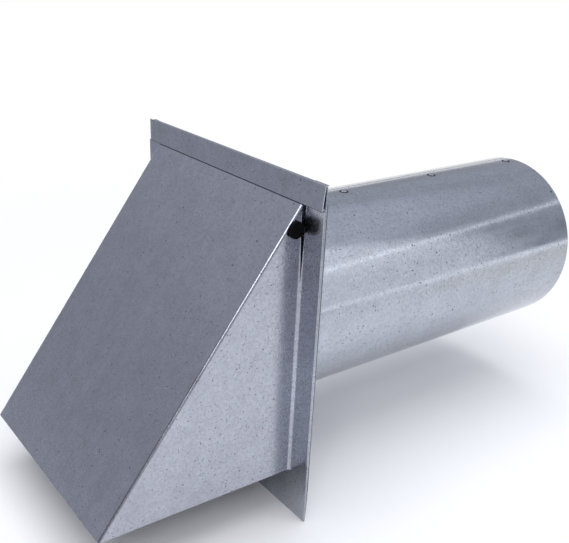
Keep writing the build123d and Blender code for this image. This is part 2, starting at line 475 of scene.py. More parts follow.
@dataclass(frozen=True)
class ZincFinish:
    """Galvanised sheet: blue-grey zinc with crystals, dark pits and rolling marks, and where asked a dark
    line of painted shade along a fold.
    """

    name: str
    tint: Triple
    roughness: float
    grain: GrainWay
    crystal_depth: float
    cloud_depth: float
    speck_share: float
    mark_depth: float
    pit_tint: Triple = (0.14, 0.149, 0.168)
    pit_size: float = 0.21
    bump: float = 0.12
    # Plane and colour of a dark line of painted shade along a fold
    shaded_fold: tuple[Triple, float] | None = None
    painted_shade: Triple = (0.045, 0.048, 0.056)
    dull_bore: float | None = None
    dull_share: float = 0.5
    dull_blend: float = 0.0001
    frost_shine: float = 0.12
    mark_roughness: float = 0.15
    pit_roughness: float = 0.2
    pit_depth: float = 0.6

    def material(self) -> bpy.types.Material:
        """Builds the finish as a material.

        Returns:
            The new material.
        """
        made, sheet, shader = start_material(self.name)
        shader.inputs["Metallic"].default_value = 1.0
        place = sheet.add("ShaderNodeTexCoord").outputs["Object"]
        spangle = ZincSpangle().place(
            sheet, place, Crystal_Depth=self.crystal_depth, Cloud_Depth=self.cloud_depth
        )
        specks = DarkSpecks().place(sheet, place, Share=self.speck_share, Speck_Size=self.pit_size)
        stretch = sheet.vector("MULTIPLY", place, self.grain.value)
        marks = RollingMarks().place(sheet, stretch.outputs[0])

        tone = sheet.math("ADD", spangle.outputs["Tone"],
                          sheet.math("MULTIPLY", marks.outputs["Value"], self.mark_depth))
        coat = sheet.blend(specks.outputs["Mask"], sheet.tinted(self.tint, tone), self.pit_tint)
        # Painted shade: the line along the fold is darkened to stand in for the shade in the crease
        if self.shaded_fold is not None:
            way, at = self.shaded_fold
            line = FoldShade().place(sheet, place, Plane_Way=way, Plane_Place=at)
            coat = sheet.blend(line.outputs["Mask"], coat, self.painted_shade)
        sheet.link(coat, shader.inputs["Base Color"])
        if self.dull_bore is not None:
            across = sheet.vector("MULTIPLY", place, (1.0, 0.0, 1.0))
            radius = sheet.vector("LENGTH", across.outputs[0])
            bright = sheet.between(radius.outputs["Value"], self.dull_bore, self.dull_bore + self.dull_blend,
                                   1.0 - self.dull_share, 1.0)
            sheet.link(bright, shader.inputs["Metallic"])

        frosted = sheet.math("MULTIPLY", spangle.outputs["Height"], -self.frost_shine)
        marked = sheet.math("MULTIPLY", marks.outputs["Value"], self.mark_roughness)
        rough = sheet.math("ADD", sheet.math("ADD", frosted, marked), self.roughness)
        pitted = sheet.math("MULTIPLY", specks.outputs["Mask"], self.pit_roughness)
        sheet.link(sheet.math("ADD", rough, pitted), shader.inputs["Roughness"])

        pits = sheet.math("MULTIPLY", specks.outputs["Mask"], self.pit_depth)
        sheet.bump(shader, sheet.math("SUBTRACT", spangle.outputs["Height"], pits), self.bump)
        return made


@dataclass(frozen=True)
class PlainMetalFinish:
    """Bare satin metal of the rod, with fine drawing marks."""

    name: str
    tint: Triple
    roughness: float
    mark_scale: float
    mark_depth: float = 0.3
    mark_roughness: float = 0.25

    def material(self) -> bpy.types.Material:
        """Builds the finish as a material.

        Returns:
            The new material.
        """
        made, sheet, shader = start_material(self.name)
        shader.inputs["Metallic"].default_value = 1.0
        place = sheet.add("ShaderNodeTexCoord").outputs["Object"]
        marks = RollingMarks().place(sheet, place, Mark_Scale=self.mark_scale)
        tone = sheet.math("ADD", sheet.math("MULTIPLY", marks.outputs["Value"], self.mark_depth), 1.0)
        sheet.link(sheet.tinted(self.tint, tone), shader.inputs["Base Color"])
        rough = sheet.math("MULTIPLY", marks.outputs["Value"], self.mark_roughness)
        sheet.link(sheet.math("ADD", rough, self.roughness), shader.inputs["Roughness"])
        return made


@dataclass(frozen=True)
class RivetFinish:
    """Bright rivet metal, with painted shade in a ring at the edge of the head."""

    name: str
    tint: Triple
    painted_shade: Triple
    ring_start: float
    roughness: float
    ring_blend: float = 0.0003
    mark_scale: float = 900.0
    mark_roughness: float = 0.25
    shade_ring_roughness: float = 0.2

    def material(self) -> bpy.types.Material:
        """Builds the finish as a material, for rivets that stand on their own origin.

        Returns:
            The new material.
        """
        made, sheet, shader = start_material(self.name)
        shader.inputs["Metallic"].default_value = 1.0
        place = sheet.add("ShaderNodeTexCoord").outputs["Object"]
        flat = sheet.vector("MULTIPLY", place, (1.0, 1.0, 0.0))
        radius = sheet.vector("LENGTH", flat.outputs[0])
        # Painted shade: the ring at the edge of the head is darkened
        ring = sheet.between(radius.outputs["Value"], self.ring_start, self.ring_start + self.ring_blend)
        sheet.link(sheet.blend(ring, self.tint, self.painted_shade), shader.inputs["Base Color"])
        marks = RollingMarks().place(sheet, place, Mark_Scale=self.mark_scale)
        rough = sheet.math("MULTIPLY", marks.outputs["Value"], self.mark_roughness)
        rough = sheet.math("ADD", rough, sheet.math("MULTIPLY", ring, self.shade_ring_roughness))
        sheet.link(sheet.math("ADD", rough, self.roughness), shader.inputs["Roughness"])
        return made


@dataclass(frozen=True)
class RubberFinish:
    """Matte black rubber of the push-on cap, with a faint dusty bloom."""

    name: str
    tint: Triple
    bloom: Triple
    roughness: float
    sheen: float = 0.08
    dust_scale: float = 900.0
    dust_full: float = 0.35
    dust_roughness: float = 0.2
    bump: float = 0.1

    def material(self) -> bpy.types.Material:
        """Builds the finish as a material.

        Returns:
            The new material.
        """
        made, sheet, shader = start_material(self.name)
        shader.inputs["Specular IOR Level"].default_value = self.sheen
        place = sheet.add("ShaderNodeTexCoord").outputs["Object"]
        dust = RollingMarks().place(sheet, place, Mark_Scale=self.dust_scale)
        amount = sheet.between(dust.outputs["Value"], 0.0, self.dust_full)
        sheet.link(sheet.blend(amount, self.tint, self.bloom), shader.inputs["Base Color"])
        rough = sheet.math("MULTIPLY", dust.outputs["Value"], self.dust_roughness)
        sheet.link(sheet.math("ADD", rough, self.roughness), shader.inputs["Roughness"])
        sheet.bump(shader, dust.outputs["Value"], self.bump)
        return made


def mesh_piece(name: str, bm: bmesh.types.BMesh) -> bpy.types.Object:
    """Turns a bmesh into an object in the scene.

    Args:
        name: Name of the object and its mesh.
        bm: Filled bmesh, which is freed.

    Returns:
        The new object.
    """
    bmesh.ops.remove_doubles(bm, verts=bm.verts, dist=JOIN)
    mesh = bpy.data.meshes.new(name)
    bm.to_mesh(mesh)
    bm.free()
    made = bpy.data.objects.new(name, mesh)
    bpy.context.scene.collection.objects.link(made)
    return made


def settle(piece: bpy.types.Object) -> None:
    """Applies a piece's modifiers to its mesh.

    Args:
        piece: Object whose modifiers are applied and cleared.
    """
    bpy.context.view_layer.update()
    depsgraph = bpy.context.evaluated_depsgraph_get()
    applied = bpy.data.meshes.new_from_object(piece.evaluated_get(depsgraph))
    rough = piece.data
    piece.modifiers.clear()
    piece.data = applied
    bpy.data.meshes.remove(rough)
    applied.name = piece.name


def dress(piece: bpy.types.Object, finish: bpy.types.Material) -> None:
    """Shades a piece, with smooth bends, crisp cut edges and flat faces, and gives it its material.

    Args:
        piece: Piece with its final shape.
        finish: Material of the piece.
    """
    mesh = piece.data
    mesh.polygons.foreach_set("use_smooth", [True] * len(mesh.polygons))
    mesh.set_sharp_from_angle(angle=CUT_EDGE_ANGLE)
    even = piece.modifiers.new("even_shine", "WEIGHTED_NORMAL")
    even.keep_sharp = True
    settle(piece)
    piece.data.materials.append(finish)


def drill(piece: bpy.types.Object, place: Vector, way: Vector, radius: float) -> None:
    """Cuts a round hole through a piece.

    Args:
        piece: Closed mesh to cut.
        place: Point on the hole's axis.
        way: Direction of the hole.
        radius: Hole's radius.
    """
    bm = bmesh.new()
    turn = way.to_track_quat("Z", "Y").to_matrix().to_4x4()
    bmesh.ops.create_cone(
        bm, cap_ends=True, segments=HOLE_SIDES, radius1=radius, radius2=radius, depth=2 * DRILL_REACH,
        matrix=Matrix.Translation(place) @ turn,
    )
    cutter = mesh_piece(piece.name + "_drill", bm)
    cut = piece.modifiers.new("hole", "BOOLEAN")
    cut.operation = "DIFFERENCE"
    cut.solver = "EXACT"
    cut.object = cutter
    settle(piece)
    tool = cutter.data
    bpy.data.objects.remove(cutter)
    bpy.data.meshes.remove(tool)


@dataclass
class SheetFace:
    """Outer face of a bent sheet, gathered from grids of points, that becomes a closed shell."""

    name: str
    thickness: float
    edge_round: float = 0.0001
    bm: bmesh.types.BMesh = field(default_factory=bmesh.new)

    def add(self, rows: list[list[Vector]], outward: Vector) -> None:
        """Adds a grid of faces.

        Args:
            rows: Rows of points, all of one length.
            outward: Direction that the grid's middle face looks in.
        """
        middle = rows[len(rows) // 2 - 1: len(rows) // 2 + 1]
        column = len(middle[0]) // 2
        across = middle[0][column] - middle[0][column - 1]
        along = middle[1][column] - middle[0][column]
        turned = across.cross(along).dot(outward) < 0
        made = [[self.bm.verts.new(point) for point in row] for row in rows]
        for upper, lower in zip(made, made[1:]):
            for first, second, third, fourth in zip(upper, upper[1:], lower[1:], lower):
                corners = (first, fourth, third, second) if turned else (first, second, third, fourth)
                self.bm.faces.new(corners)

    def shell(self) -> bpy.types.Object:
        """Gives the sheet its thickness, away from the outer face, and rounds its cut edges.

        Returns:
            The finished piece.
        """
        piece = mesh_piece(self.name, self.bm)
        thick = piece.modifiers.new("sheet", "SOLIDIFY")
        thick.thickness = self.thickness
        thick.offset = -1.0
        thick.use_even_offset = True
        thick.use_quality_normals = True
        rounded = piece.modifiers.new("cut_edges", "BEVEL")
        rounded.width = self.edge_round
        rounded.segments = 2
        rounded.limit_method = "ANGLE"
        rounded.angle_limit = CUT_EDGE_ANGLE
        settle(piece)
        return piece


def spread(low: float, high: float, count: int) -> list[float]:
    """Gives evenly spaced values.

    Args:
        low: First value.
        high: Last value.
        count: Number of steps between them.

    Returns:
        The values, one more than the steps.
    """
    return [low + (high - low) * step / count for step in range(count + 1)]


def turn_profile(name: str, profile: list[tuple[float, float]], foot: Vector, way: Vector,
                 sides: int = 48) -> bpy.types.Object:
    """Turns a profile round an axis into a closed piece.

    Args:
        name: Name of the piece.
        profile: Points as (radius, height), from the axis and back to it.
        foot: Point on the axis at height 0.
        way: Direction of the axis.
        sides: Number of steps round the axis.

    Returns:
        The turned piece.
    """
    bm = bmesh.new()
    turn = way.to_track_quat("Z", "Y").to_matrix()
    rings = []
    for radius, height in profile:
        ring = []
        for step in range(sides):
            angle = 2 * pi * step / sides
            point = Vector((radius * cos(angle), radius * sin(angle), height))
            ring.append(bm.verts.new(foot + turn @ point))
        rings.append(ring)
    for lower, upper in zip(rings, rings[1:]):
        for step in range(sides):
            after = (step + 1) % sides
            bm.faces.new((lower[step], lower[after], upper[after], upper[step]))
    bmesh.ops.remove_doubles(bm, verts=bm.verts, dist=JOIN)
    bmesh.ops.recalc_face_normals(bm, faces=bm.faces)
    return mesh_piece(name, bm)


@dataclass
class Hood:
    """Folded hood: a top strip, a slanted front, two cheeks, and a tab bent out from each cheek."""

    sheet: float = 0.0006
    half_width: float = 0.0762
    strip_left: float = -0.0861
    strip_right: float = 0.0924
    tab_edge: float = 0.0921
    depth: float = 0.1309
    fold_height: float = 0.0909
    fold_front: float = 0.0046
    lip_drop: float = 0.0763
    cheek_drop: float = 0.0796
    tab_front: float = 0.0026
    strip_front: float = 0.003
    strip_top: float = 0.1045
    hook_half: float = 0.0817
    hook_rear: float = 0.0007
    hook_reach: float = 0.006
    hook_bend: float = 0.0007
    slant_bend: float = 0.002
    tab_bend: float = 0.0024
    tab_top: float = 0.0904
    tab_mitre: float = 0.012
    slit_foot: float = 0.0454
    slit_widest: float = 0.0778
    slit_width: float = 0.0022
    slit_top_width: float = 0.0018
    slit_limit: float = radians(44)
    bend_middle: float = radians(135)
    rod_hole: float = 0.00205
    rod_front: float = 0.0087
    rod_height: float = 0.0778
    past_cheek: float = 0.001
    meet_steps: int = 8
    front_steps: int = 30
    slit_steps: int = 14
    cheek_steps: int = 24
    slant_steps: int = 10
    bend_steps: int = 6
    hook_steps: int = 5
    strip_rows: tuple[float, ...] = (0.35, 0.65)
    cheek_columns: tuple[float, ...] = (0.0, 0.01, 0.04, *spread(0.0, 1.0, 16)[1:-1], 0.985, 1.0)
    tab_columns: tuple[float, ...] = (0.0, 0.04, 0.25, 0.5, 0.75, 0.96, 1.0)

    def __post_init__(self) -> None:
        """Works out the slant of the front and where its bends begin."""
        self.flat = self.half_width - self.slant_bend
        run = self.depth - self.fold_front
        fall = self.fold_height + self.lip_drop
        self.slant_length = hypot(run, fall)
        self.down = Vector((0, -run / self.slant_length, -fall / self.slant_length))
        self.face = Vector((0, self.down.z, -self.down.y))
        self.bend_front = -self.tab_front - self.tab_bend
        self.bend_x = self.half_width + self.tab_bend

    def bottom(self, y: float) -> float:
        """Height of the open bottom's edge at a distance from the wall."""
        share = (y + self.depth) / (self.depth - self.tab_front)
        return -self.lip_drop + share * (self.lip_drop - self.cheek_drop)

    def front_point(self, x: float, along: float, under: float) -> Vector:
        """Point of the front: along is from the fold down, under is below its face."""
        return Vector((x, -self.fold_front, self.fold_height)) + along * self.down - under * self.face

    def front_end(self, under: float) -> float:
        """Distance along the front at which a line under its face meets the open bottom.

        Args:
            under: Distance of the line below the face.

        Returns:
            The distance from the fold.
        """
        along = self.slant_length
        for _ in range(self.meet_steps):
            point = self.front_point(0, along, under)
            along += (point.z - self.bottom(point.y)) / -self.down.z
        return along

    def cheek_start(self) -> float:
        """Distance along the front at which the cheek begins to have a width."""
        corner = self.front_point(0, 0, self.slant_bend)
        return (corner.y - self.bend_front) / -self.down.y

    def cheek_top(self) -> float:
        """Height at which the cheek begins to have a width."""
        return self.front_point(0, self.cheek_start(), self.slant_bend).z

    def slit_half_angle(self, z: float) -> float:
        """Half of the slit's opening at a height, as an angle of the tab's bend.

        Args:
            z: Height on the bend.

        Returns:
            The angle, which is 0 below the slit.
        """
        if z <= self.slit_foot:
            return 0.0
        if z <= self.slit_widest:
            share = (z - self.slit_foot) / (self.slit_widest - self.slit_foot)
            width = self.slit_width * share
        else:
            share = min(1.0, (z - self.slit_widest) / (self.tab_top - self.slit_widest))
            width = self.slit_width + share * (self.slit_top_width - self.slit_width)
        return min(self.slit_limit, asin(min(1.0, width / 2 / self.tab_bend)))

    def along_values(self) -> list[float]:
        """Places of the rows down the front.

        Returns:
            The places, as shares of the front's length.
        """
        start = self.cheek_start() / self.slant_length
        slit_share = start + (1 - start) * self.slit_share()
        rows = [0.0, EDGE_STEP / self.slant_length, start / 2]
        rows += spread(start, slit_share, self.slit_steps)
        rows += spread(slit_share, 1.0, self.cheek_steps)[1:]
        return rows

    def slit_share(self) -> float:
        """Share of the cheek's rear edge that the slit takes."""
        top = self.cheek_top()
        return (top - self.slit_foot) / (top - self.bottom(self.bend_front))

    def front_columns(self) -> list[float]:
        """Places of the columns across the front, closer together beside its bends."""
        inner = spread(-self.flat, self.flat, self.front_steps)[1:-1]
        return [-self.flat, -self.flat + EDGE_STEP] + inner + [self.flat - EDGE_STEP, self.flat]

    def add_front(self, face: SheetFace) -> None:
        """Adds the slanted front.

        Args:
            face: Sheet to add to.
        """
        columns = self.front_columns()
        end = self.front_end(0)
        rows = [[self.front_point(x, share * end, 0) for x in columns] for share in self.along_values()]
        face.add(rows, self.face)

    def add_slanted_bend(self, face: SheetFace, way: int) -> None:
        """Adds the bend between the front and one cheek.

        Args:
            face: Sheet to add to.
            way: 1 for the right side, -1 for the left.
        """
        arc = [radians(angle) for angle in spread(0, 90, self.slant_steps)]
        rows = []
        for share in self.along_values():
            row = []
            for angle in arc:
                under = self.slant_bend * (1 - cos(angle))
                along = share * self.front_end(under)
                row.append(self.front_point(way * (self.flat + self.slant_bend * sin(angle)), along, under))
            rows.append(row)
        face.add(rows, Vector((way, 0, 0)) + self.face)

    def add_cheek(self, face: SheetFace, way: int) -> None:
        """Adds one cheek, the bend with its slit, and the tab.

        Args:
            face: Sheet to add to.
            way: 1 for the right side, -1 for the left.
        """
        first = self.cheek_start() / self.slant_length
        lower = [share for share in self.along_values() if share >= first - TINY]
        top = self.cheek_top()
        foot = self.bottom(self.bend_front)
        slit = self.slit_share()
        cheek, cheek_bend, tab_bend, tab = [], [], [], []
        for share in lower:
            down = (share - first) / (1 - first)
            reach = share * self.front_end(self.slant_bend)
            edge = self.front_point(way * self.half_width, reach, self.slant_bend)
            edge.y = min(edge.y, self.bend_front)
            rear = Vector((way * self.half_width, self.bend_front, top + down * (foot - top)))
            cheek.append([edge.lerp(rear, step) for step in self.cheek_columns])

            gap = self.slit_half_angle(rear.z)
            cheek_bend.append([self.bend_point(way, angle, rear.z)
                               for angle in spread(pi, self.bend_middle + gap, self.bend_steps)])
            raised = (self.tab_top - top) * max(0.0, 1 - down / slit)
            height = rear.z + raised
            gap = self.slit_half_angle(height)
            tab_bend.append([self.bend_point(way, angle, height)
                             for angle in spread(self.bend_middle - gap, radians(90), self.bend_steps)])
            row = []
            for step in self.tab_columns:
                x = self.bend_x + step * (self.tab_edge - self.bend_x)
                row.append(Vector((way * x, -self.tab_front, height + step * down * self.tab_mitre)))
            tab.append(row)
        face.add(cheek, Vector((way, 0, 0)))
        face.add(cheek_bend, Vector((way, -1, 0)))
        face.add(tab_bend, Vector((way, -1, 0)))
        face.add(tab, Vector((0, -1, 0)))

    def bend_point(self, way: int, angle: float, z: float) -> Vector:
        """Point of the bend between a cheek and its tab.

        Args:
            way: 1 for the right side, -1 for the left.
            angle: Angle round the bend, 90 degrees at the tab and 180 at the cheek.
            z: Height of the point.

        Returns:
            The point.
        """
        x = self.bend_x + self.tab_bend * cos(angle)
        y = self.bend_front + self.tab_bend * sin(angle)
        return Vector((way * x, y, z))

    def add_strip(self, face: SheetFace) -> None:
        """Adds the strip above the fold, its turned top, and the hook behind the plate.

        Args:
            face: Sheet to add to.
        """
        inner = self.front_columns()
        outer = [self.hook_half, self.half_width + self.past_cheek]
        columns = [self.strip_left] + [-x for x in outer] + inner + outer[::-1] + [self.strip_right]
        low = Vector((0, -self.fold_front, self.fold_height))
        high = Vector((0, -self.strip_front, self.strip_top))
        share = EDGE_STEP / (high - low).length
        levels = [0.0, share, *self.strip_rows, 1 - self.hook_bend / (high - low).length]
        rows = [[low.lerp(high, level) + Vector((x, 0, 0)) for x in columns] for level in levels]
        face.add(rows, Vector((0, -1, 0)))
        last = rows[-1][0]
        turn = self.hook_bend
        path = [(last.y, last.z)]
        for angle in spread(radians(180), radians(90), self.hook_steps)[1:]:
            path.append((high.y + turn + turn * cos(angle), high.z - turn + turn * sin(angle)))
        path.append((-self.hook_rear - turn, high.z))
        face.add([[Vector((x, y, z)) for x in columns] for y, z in path], Vector((0, -1, 1)))
        for side in (-1, 1):
            corner = [x for x in columns if x * side >= self.hook_half]
            face.add([[Vector((x, y, high.z)) for x in corner]
                      for y in (-self.hook_rear - turn, -self.hook_rear)], Vector((0, 0, 1)))
        middle = [x for x in columns if abs(x) <= self.hook_half]
        path = []
        for angle in spread(radians(90), 0.0, self.hook_steps):
            path.append((-self.hook_rear - turn + turn * cos(angle), high.z - turn + turn * sin(angle)))
        path.append((-self.hook_rear, high.z - self.hook_reach))
        face.add([[Vector((x, y, z)) for x in middle] for y, z in path], Vector((0, 1, 1)))

    def build(self, finish: bpy.types.Material) -> bpy.types.Object:
        """Builds the hood and dresses it.

        Args:
            finish: Material of the sheet.

        Returns:
            The hood.
        """
        face = SheetFace("hood_sheet", self.sheet)
        self.add_front(face)
        for way in (1, -1):
            self.add_slanted_bend(face, way)
            self.add_cheek(face, way)
        self.add_strip(face)
        piece = face.shell()
        for way in (1, -1):
            place = Vector((way * self.half_width, -self.rod_front, self.rod_height))
            drill(piece, place, Vector((1, 0, 0)), self.rod_hole)
        dress(piece, finish)
        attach(piece, Body.HOUSING.value)
        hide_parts("hood")
        return piece


@dataclass
class BackPlate:
    """Flat plate against the wall, with a hole for the pipe and a hem folded behind each side."""

    sheet: float = 0.0006
    front: float = 0.002
    rise: float = 0.1038
    drop: float = 0.1104
    hem_x: float = 0.0917
    hem_radius: float = 0.001
    hem_reach: float = 0.008
    hem_taper: float = 0.03
    hole: float = 0.0636
    rim_steps: int = 28
    hem_steps: int = 12
    hem_rows: int = 4
    flat_columns: tuple[float, ...] = (0.0, 0.03, 0.25, 0.5, 0.75, 0.97, 1.0)

    def hole_angles(self) -> list[float]:
        """Angles round the hole, with one through each corner of the plate.

        Returns:
            The angles of one turn.
        """
        corners = [atan2(z, x) for x in (self.hem_x, -self.hem_x) for z in (self.rise, -self.drop)]
        corners.sort()
        angles = []
        for first, second in zip(corners, corners[1:] + [corners[0] + 2 * pi]):
            angles += spread(first, second, self.rim_steps)[:-1]
        return angles

    def rim_point(self, angle: float) -> Vector:
        """Point on the plate's rim, in the direction of an angle.

        Args:
            angle: Angle round the hole.

        Returns:
            The point, on the plate's front.
        """
        x, z = cos(angle), sin(angle)
        reach = self.hem_x / abs(x) if abs(x) > TINY else inf
        limit = self.rise if z > 0 else self.drop
        if abs(z) > TINY:
            reach = min(reach, limit / abs(z))
        return Vector((reach * x, -self.front, reach * z))

    def add_flat(self, face: SheetFace) -> None:
        """Adds the flat front, as rings from the hole out to the rim.

        Args:
            face: Sheet to add to.
        """
        angles = self.hole_angles()
        rows = []
        for angle in angles + angles[:1]:
            inner = Vector((self.hole * cos(angle), -self.front, self.hole * sin(angle)))
            outer = self.rim_point(angle)
            rows.append([inner.lerp(outer, step) for step in self.flat_columns])
        face.add(rows, Vector((0, -1, 0)))

    def add_hem(self, face: SheetFace, way: int) -> None:
        """Adds one side's hem, which thins out towards the corners.

        Args:
            face: Sheet to add to.
            way: 1 for the right side, -1 for the left.
        """
        levels = sorted({round(point.z, SAME_DIGITS) for point in map(self.rim_point, self.hole_angles())
                         if abs(point.x - way * self.hem_x) < NEAR})
        path = []
        for angle in spread(radians(-90), radians(90), self.hem_steps):
            path.append((self.hem_x + self.hem_radius * cos(angle), self.hem_radius * (sin(angle) - 1)))
        for x in spread(self.hem_x, self.hem_x - self.hem_reach, self.hem_rows)[1:]:
            path.append((x, 0.0))
        rows = []
        rear = self.sheet - self.front
        for x, y in path:
            cut = self.hem_taper * max(0.0, (y - rear) / -rear)
            low, high = -self.drop + cut, self.rise - cut
            scale = (high - low) / (self.rise + self.drop)
            rows.append([Vector((way * x, y, low + (z + self.drop) * scale)) for z in levels])
        face.add(rows, Vector((way, 0, 0)))

    def build(self, finish: bpy.types.Material) -> bpy.types.Object:
        """Builds the plate and dresses it.

        Args:
            finish: Material of the sheet.

        Returns:
            The plate.
        """
        face = SheetFace("back_plate_sheet", self.sheet)
        self.add_flat(face)
        for way in (1, -1):
            self.add_hem(face, way)
        piece = face.shell()
        dress(piece, finish)
        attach(piece, Body.HOUSING.value)
        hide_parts("back_plate")
        return piece


@dataclass
class DuctPipe:
    """Rolled pipe: a lap seam along its top, two beads that hold the plate, and a tie hole near its end."""

    sheet: float = 0.0005
    radius: float = 0.0635
    mouth: float = -0.0104
    reach: float = 0.2738
    lap_half: float = 0.0085
    lap_gap: float = 0.00002
    joggle: float = radians(0.8)
    bead: float = 0.0007
    beads: tuple[float, float] = (-0.0007, -0.0027)
    tie_hole: float = 0.0008
    tie_hole_inset: float = 0.0034
    tie_hole_angle: float = radians(49.5)
    # Shape of the dark disc of painted shade in the tie hole
    hole_shade_edge: float = 0.9
    hole_shade_middle: float = 0.95
    ring_clear: float = 0.006
    end_clear: float = 0.003
    ring_steps: int = 30
    bead_steps: int = 12
    lap_steps: int = 10
    wall_steps: int = 180
    joggle_steps: int = 3

    def tie_hole_way(self) -> Vector:
        """Direction of the tie hole, out from the pipe's axis."""
        return Vector((cos(self.tie_hole_angle), 0, sin(self.tie_hole_angle)))

    def tie_hole_point(self, radius: float) -> Vector:
        """Point on the tie hole's axis, at a distance from the pipe's axis."""
        return radius * self.tie_hole_way() + Vector((0, self.reach - self.tie_hole_inset, 0))

    def wall_radius(self, turned: float) -> float:
        """Outer radius at an angle turned from the lap's outer edge.

        Args:
            turned: Angle from the outer edge, past a full turn in the lap.

        Returns:
            Radius of the sheet's outer face.
        """
        share = min(1.0, max(0.0, (turned - (2 * pi - self.joggle)) / self.joggle))
        return self.radius - share * (self.sheet + self.lap_gap)

    def lengths(self) -> list[float]:
        """Places of the rings along the pipe, closer together at its ends and beads.

        Returns:
            The places, from the mouth to the open end.
        """
        rows = [self.mouth, self.mouth + EDGE_STEP, -self.ring_clear]
        turns = spread(radians(-90), radians(90), self.bead_steps)
        for centre in sorted(self.beads):
            rows += [centre + self.bead * sin(angle) for angle in turns]
        rows += [EDGE_STEP] + spread(self.ring_clear, self.reach - self.end_clear, self.ring_steps)
        rows += [self.reach - EDGE_STEP, self.reach]
        kept = []
        for y in sorted(rows):
            if not kept or y - kept[-1] > NEAR:
                kept.append(y)
        return kept

    def bead_height(self, y: float) -> float:
        """How far the beads stand out at a place along the pipe."""
        return max(sqrt(max(0.0, self.bead**2 - (y - centre) ** 2)) for centre in self.beads)

    def build(self, finish: bpy.types.Material) -> bpy.types.Object:
        """Builds the pipe and dresses it.

        Args:
            finish: Material of the sheet.

        Returns:
            The pipe.
        """
        half = asin(self.lap_half / self.radius)
        lap = 2 * half
        step_in = 2 * pi - self.joggle
        turns = spread(0.0, lap, self.lap_steps)[:-1] + spread(lap, step_in, self.wall_steps)
        turns += spread(step_in, 2 * pi, self.joggle_steps)[1:]
        turns += spread(2 * pi, 2 * pi + lap, self.lap_steps)[1:]
        rows = []
        for turned in turns:
            angle = pi / 2 + half - turned
            wall = self.wall_radius(turned)
            row = []
            for y in self.lengths():
                radius = wall + self.bead_height(y)
                row.append(Vector((radius * cos(angle), y, radius * sin(angle))))
            rows.append(row)
        middle = pi / 2 + half - turns[len(turns) // 2]
        face = SheetFace("duct_pipe_sheet", self.sheet)
        face.add(rows, Vector((cos(middle), 0, sin(middle))))
        piece = face.shell()
        drill(piece, self.tie_hole_point(self.radius), self.tie_hole_way(), self.tie_hole)
        dress(piece, finish)
        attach(piece, Body.HOUSING.value)
        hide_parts("duct_pipe")
        return piece

    def build_hole_shade(self, finish: bpy.types.Material) -> bpy.types.Object:
        """Builds a dark disc in the tie hole, flush with the sheet, as painted shade for the dark inside
        seen through the hole.

        Args:
            finish: Material of the disc.

        Returns:
            The disc.
        """
        foot = self.tie_hole_point(self.radius - self.sheet)
        profile = [
            (0.0, 0.0),
            (self.tie_hole, 0.0),
            (self.tie_hole, self.sheet * self.hole_shade_edge),
            (0.0, self.sheet * self.hole_shade_middle),
        ]
        piece = turn_profile("tie_hole_shade_disc", profile, foot, self.tie_hole_way(), HOLE_SIDES)
        dress(piece, finish)
        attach(piece, Body.HOUSING.value)
        return piece


@dataclass
class SeamRivets:
    """Row of dished rivets that holds the pipe's lap seam."""

    count: int = 4
    first: float = 0.264
    pitch: float = 0.085
    seat: float = 0.0635
    head: float = 0.0032
    head_height: float = 0.00015
    dish: float = 0.0017
    dish_depth: float = 0.0003
    shank: float = 0.0015
    tail: float = 0.0025
    tail_top: float = 0.06245
    tail_height: float = 0.0004
    fine: float = 0.0001
    rim_flat: float = 0.0003
    rim_shoulder: float = 0.00008
    rim_drop: float = 0.00005
    rim_foot: float = 0.00002
    tail_narrow: float = 0.9
    tail_flat: float = 0.6
    dish_steps: int = 8

    def profile(self) -> list[tuple[float, float]]:
        """Half section of a rivet, from its dish over its head to its tail.

        Returns:
            Points as (radius, height).
        """
        top = self.seat + self.head_height
        low = self.tail_top - self.tail_height
        points = []
        for angle in spread(0, pi, self.dish_steps):
            share = (1 - cos(angle)) / 2
            points.append((self.dish * angle / pi, top - self.dish_depth * (1 - share)))
        points += [
            (self.dish + self.fine, top),
            (self.head - self.rim_flat, top),
            (self.head - self.rim_shoulder, top - self.rim_drop),
            (self.head, self.seat - self.rim_foot),
            (self.head, self.seat - self.fine),
            (self.shank, self.seat - self.fine),
            (self.shank, self.tail_top),
            (self.tail - self.fine, self.tail_top),
            (self.tail, self.tail_top - self.fine),
            (self.tail * self.tail_narrow, low + self.fine),
            (self.tail * self.tail_flat, low),
            (0.0, low),
        ]
        return points

    def build(self, finish: bpy.types.Material) -> list[bpy.types.Object]:
        """Builds the rivets and dresses them.

        Args:
            finish: Material of the rivets.

        Returns:
            One piece for each rivet.
        """
        pieces = []
        for place in range(self.count):
            name = f"seam_rivet_{place + 1}"
            piece = turn_profile(name, self.profile(), Vector((0, 0, 0)), Vector((0, 0, 1)))
            piece.location = (0, self.first - place * self.pitch, 0)
            dress(piece, finish)
            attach(piece, Body.HOUSING.value)
            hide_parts("seam_rivets")
            pieces.append(piece)
        return pieces


